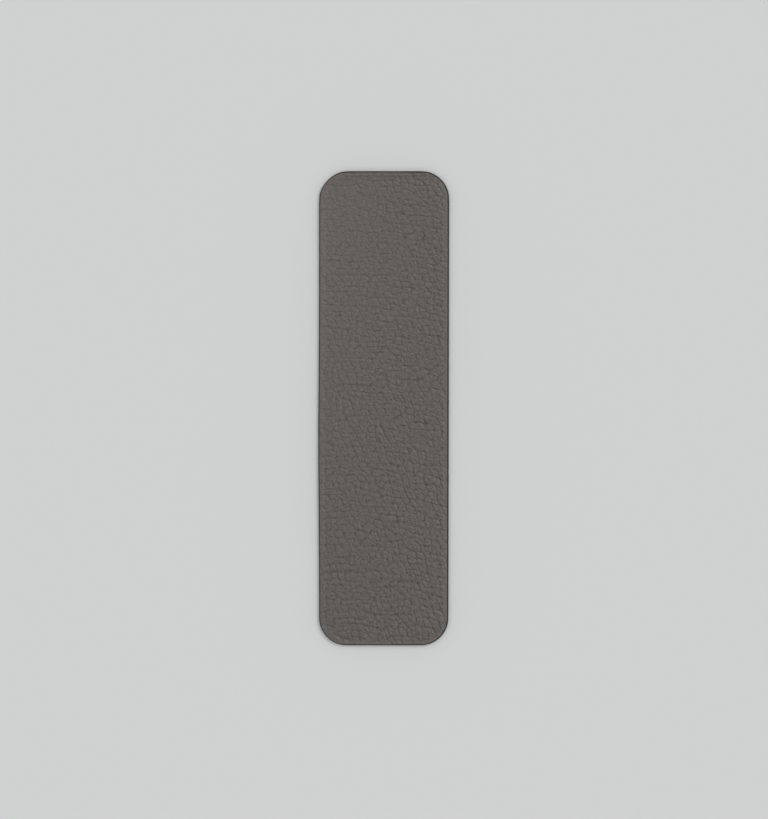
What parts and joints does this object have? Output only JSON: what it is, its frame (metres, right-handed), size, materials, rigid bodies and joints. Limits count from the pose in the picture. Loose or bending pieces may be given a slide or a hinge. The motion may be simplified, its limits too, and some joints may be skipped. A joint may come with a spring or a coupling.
{
  "type": "leather bookmark",
  "caption": "Flat leather bookmark strip with rounded corners, grained front, lined back and dark lacquered edge, laid between pages to mark a place.",
  "frame": {"origin": "middle of the back face, on the surface that the bookmark lies on", "axes": "+X across the width, +Y along the length, +Z out of the grained front face"},
  "size_m": [0.04, 0.145, 0.0015],
  "materials": {
    "grained_leather": "matte",
    "lining_leather": "matte",
    "fibre_board": "matte",
    "contact_glue": "satin",
    "edge_filler": "matte",
    "edge_lacquer": "satin"
  },
  "bodies": {
    "root": {"back_leather": "lining_leather", "back_glue_film": "contact_glue", "stiffener": "fibre_board", "front_glue_film": "contact_glue", "front_leather": "grained_leather", "edge_filler_coat": "edge_filler", "edge_lacquer_coat": "edge_lacquer"}
  },
  "joints": []
}
